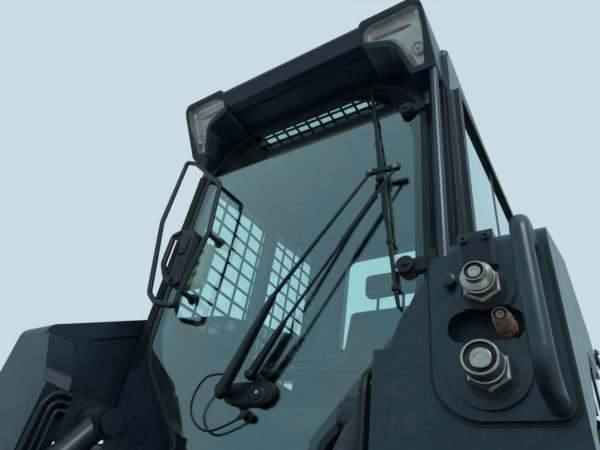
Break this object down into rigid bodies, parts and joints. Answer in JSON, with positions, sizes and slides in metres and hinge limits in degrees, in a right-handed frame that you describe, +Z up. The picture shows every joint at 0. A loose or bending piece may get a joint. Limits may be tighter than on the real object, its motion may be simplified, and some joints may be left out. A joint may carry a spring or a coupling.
{
  "type": "skid steer loader",
  "caption": "Compact skid steer loader with glazed cab, twin radius-lift arms, hydraulic cylinders, four lugged tyres, side-hinged front door and a general-purpose bucket.",
  "frame": {"origin": "centre of the bounding box's footprint, on the floor that the tyres stand on", "axes": "+X to the machine's left, +Y to its rear, +Z up; the bucket faces -Y"},
  "size_m": [1.88, 3.63, 2.035],
  "materials": {
    "body_navy": "semi-gloss charcoal navy paint",
    "arm_slate": "satin dark slate paint",
    "frame_black": "satin black paint",
    "trim_black": "textured black powder coat",
    "steel_bare": "bare worn steel",
    "zinc": "bright zinc plate",
    "cylinder_paint": "satin black paint",
    "rod_chrome": "hard chrome",
    "tinted_glass": "lightly tinted safety glass",
    "lamp_lens": "clear lamp lens",
    "lamp_red": "red lamp lens",
    "seat_vinyl": "black vinyl",
    "rim_paint": "satin dark grey paint",
    "tyre_rubber": "worn black rubber"
  },
  "bodies": {
    "chassis": {"belly_frame": "frame_black", "chaincase_left": "frame_black", "chaincase_right": "frame_black", "axle_housings": "frame_black", "engine_block": "frame_black", "upright_left": "body_navy", "upright_right": "body_navy", "tail_lamps": "lamp_red", "rear_hood": "body_navy", "cab_side_left": "body_navy", "cab_side_right": "body_navy", "side_glass": "tinted_glass", "cab_roof": "body_navy", "roof_glass": "tinted_glass", "cab_rear_wall": "body_navy", "rear_glass": "tinted_glass", "cab_front_frame": "body_navy", "front_rail": "body_navy", "cab_floor": "frame_black", "visor": "body_navy", "headlamp_lenses": "lamp_lens", "seat": "seat_vinyl", "control_consoles": "trim_black", "cab_mounts": "trim_black", "cab_screens": "trim_black", "rear_hinge_pins": "steel_bare"},
    "seat_bar": {"seat_bar": "trim_black"},
    "door": {"door_frame": "trim_black", "door_glass": "tinted_glass", "door_hinges": "trim_black", "door_handle": "trim_black", "door_loop": "trim_black", "wiper": "trim_black"},
    "tailgate": {"tailgate": "body_navy"},
    "screen_lid": {"screen_lid": "body_navy"},
    "arms": {"arm_left": "arm_slate", "arm_right": "arm_slate", "arm_cross_tubes": "arm_slate", "hose_couplers": "zinc", "coupler_guard": "arm_slate", "tilt_hoses": "trim_black"},
    "bucket": {"attachment_frame": "frame_black", "bucket": "frame_black", "cutting_edge": "steel_bare"},
    "lift_barrel_left": {"lift_barrel_left": "cylinder_paint"},
    "lift_rod_left": {"lift_rod_left": "rod_chrome"},
    "tilt_barrel_left": {"tilt_barrel_left": "cylinder_paint"},
    "tilt_rod_left": {"tilt_rod_left": "rod_chrome"},
    "lift_barrel_right": {"lift_barrel_right": "cylinder_paint"},
    "lift_rod_right": {"lift_rod_right": "rod_chrome"},
    "tilt_barrel_right": {"tilt_barrel_right": "cylinder_paint"},
    "tilt_rod_right": {"tilt_rod_right": "rod_chrome"},
    "wheel_front_left": {"tyre_front_left": "tyre_rubber", "rim_front_left": "rim_paint"},
    "wheel_front_right": {"tyre_front_right": "tyre_rubber", "rim_front_right": "rim_paint"},
    "wheel_rear_left": {"tyre_rear_left": "tyre_rubber", "rim_rear_left": "rim_paint"},
    "wheel_rear_right": {"tyre_rear_right": "tyre_rubber", "rim_rear_right": "rim_paint"}
  },
  "joints": [
    {"name": "lift", "type": "hinge", "parent": "chassis", "child": "arms", "pos_m": [0, 1.18, 1.64], "axis": [-1, 0, 0], "range_deg": [0, 68]},
    {"name": "tilt", "type": "hinge", "parent": "arms", "child": "bucket", "pos_m": [0, -1, 0.215], "axis": [1, 0, 0], "range_deg": [-25, 95]},
    {"name": "door_swing", "type": "hinge", "parent": "chassis", "child": "door", "pos_m": [0.464, -0.627, 1.4], "axis": [0, 0, -1], "range_deg": [-80, 0]},
    {"name": "tailgate_swing", "type": "hinge", "parent": "chassis", "child": "tailgate", "pos_m": [0.56, 1.668, 0.745], "axis": [0, 0, -1], "range_deg": [0, 95]},
    {"name": "lid_lift", "type": "hinge", "parent": "chassis", "child": "screen_lid", "pos_m": [0, 0.408, 1.272], "axis": [1, 0, 0], "range_deg": [0, 42]},
    {"name": "seat_bar_lift", "type": "hinge", "parent": "chassis", "child": "seat_bar", "pos_m": [0, 0.14, 1.29], "axis": [-1, 0, 0], "range_deg": [0, 75]},
    {"name": "lift_barrel_left_swing", "type": "hinge", "parent": "chassis", "child": "lift_barrel_left", "pos_m": [0.63, 1.4, 0.78], "axis": [-1, 0, 0], "range_deg": [0, 20]},
    {"name": "lift_rod_left_slide", "type": "slide", "parent": "lift_barrel_left", "child": "lift_rod_left", "axis": [0, -0.8058, 0.5922], "range_m": [0, 0.552]},
    {"name": "tilt_barrel_left_swing", "type": "hinge", "parent": "arms", "child": "tilt_barrel_left", "pos_m": [0.37, -0.72, 0.795], "axis": [1, 0, 0], "range_deg": [-1, 2]},
    {"name": "tilt_rod_left_slide", "type": "slide", "parent": "tilt_barrel_left", "child": "tilt_rod_left", "axis": [0, -0.5853, -0.8108], "range_m": [-0.049, 0.184]},
    {"name": "lift_barrel_right_swing", "type": "hinge", "parent": "chassis", "child": "lift_barrel_right", "pos_m": [-0.63, 1.4, 0.78], "axis": [-1, 0, 0], "range_deg": [0, 20]},
    {"name": "lift_rod_right_slide", "type": "slide", "parent": "lift_barrel_right", "child": "lift_rod_right", "axis": [0, -0.8058, 0.5922], "range_m": [0, 0.552]},
    {"name": "tilt_barrel_right_swing", "type": "hinge", "parent": "arms", "child": "tilt_barrel_right", "pos_m": [-0.37, -0.72, 0.795], "axis": [1, 0, 0], "range_deg": [-1, 2]},
    {"name": "tilt_rod_right_slide", "type": "slide", "parent": "tilt_barrel_right", "child": "tilt_rod_right", "axis": [0, -0.5853, -0.8108], "range_m": [-0.049, 0.184]},
    {"name": "wheel_front_left_spin", "type": "hinge", "parent": "chassis", "child": "wheel_front_left", "pos_m": [0.762, -0.29, 0.42], "axis": [1, 0, 0], "continuous": true},
    {"name": "wheel_front_right_spin", "type": "hinge", "parent": "chassis", "child": "wheel_front_right", "pos_m": [-0.762, -0.29, 0.42], "axis": [1, 0, 0], "continuous": true},
    {"name": "wheel_rear_left_spin", "type": "hinge", "parent": "chassis", "child": "wheel_rear_left", "pos_m": [0.762, 0.86, 0.42], "axis": [1, 0, 0], "continuous": true},
    {"name": "wheel_rear_right_spin", "type": "hinge", "parent": "chassis", "child": "wheel_rear_right", "pos_m": [-0.762, 0.86, 0.42], "axis": [1, 0, 0], "continuous": true}
  ],
  "couplings": [
    {"joint": "lift_barrel_left_swing", "follows": "lift", "ratio": 0.2888},
    {"joint": "lift_rod_left_slide", "follows": "lift", "m_per_rad": 0.4647},
    {"joint": "tilt_barrel_left_swing", "follows": "tilt", "ratio": 0.0125},
    {"joint": "tilt_rod_left_slide", "follows": "tilt", "m_per_rad": 0.1105},
    {"joint": "lift_barrel_right_swing", "follows": "lift", "ratio": 0.2888},
    {"joint": "lift_rod_right_slide", "follows": "lift", "m_per_rad": 0.4647},
    {"joint": "tilt_barrel_right_swing", "follows": "tilt", "ratio": 0.0125},
    {"joint": "tilt_rod_right_slide", "follows": "tilt", "m_per_rad": 0.1105}
  ]
}
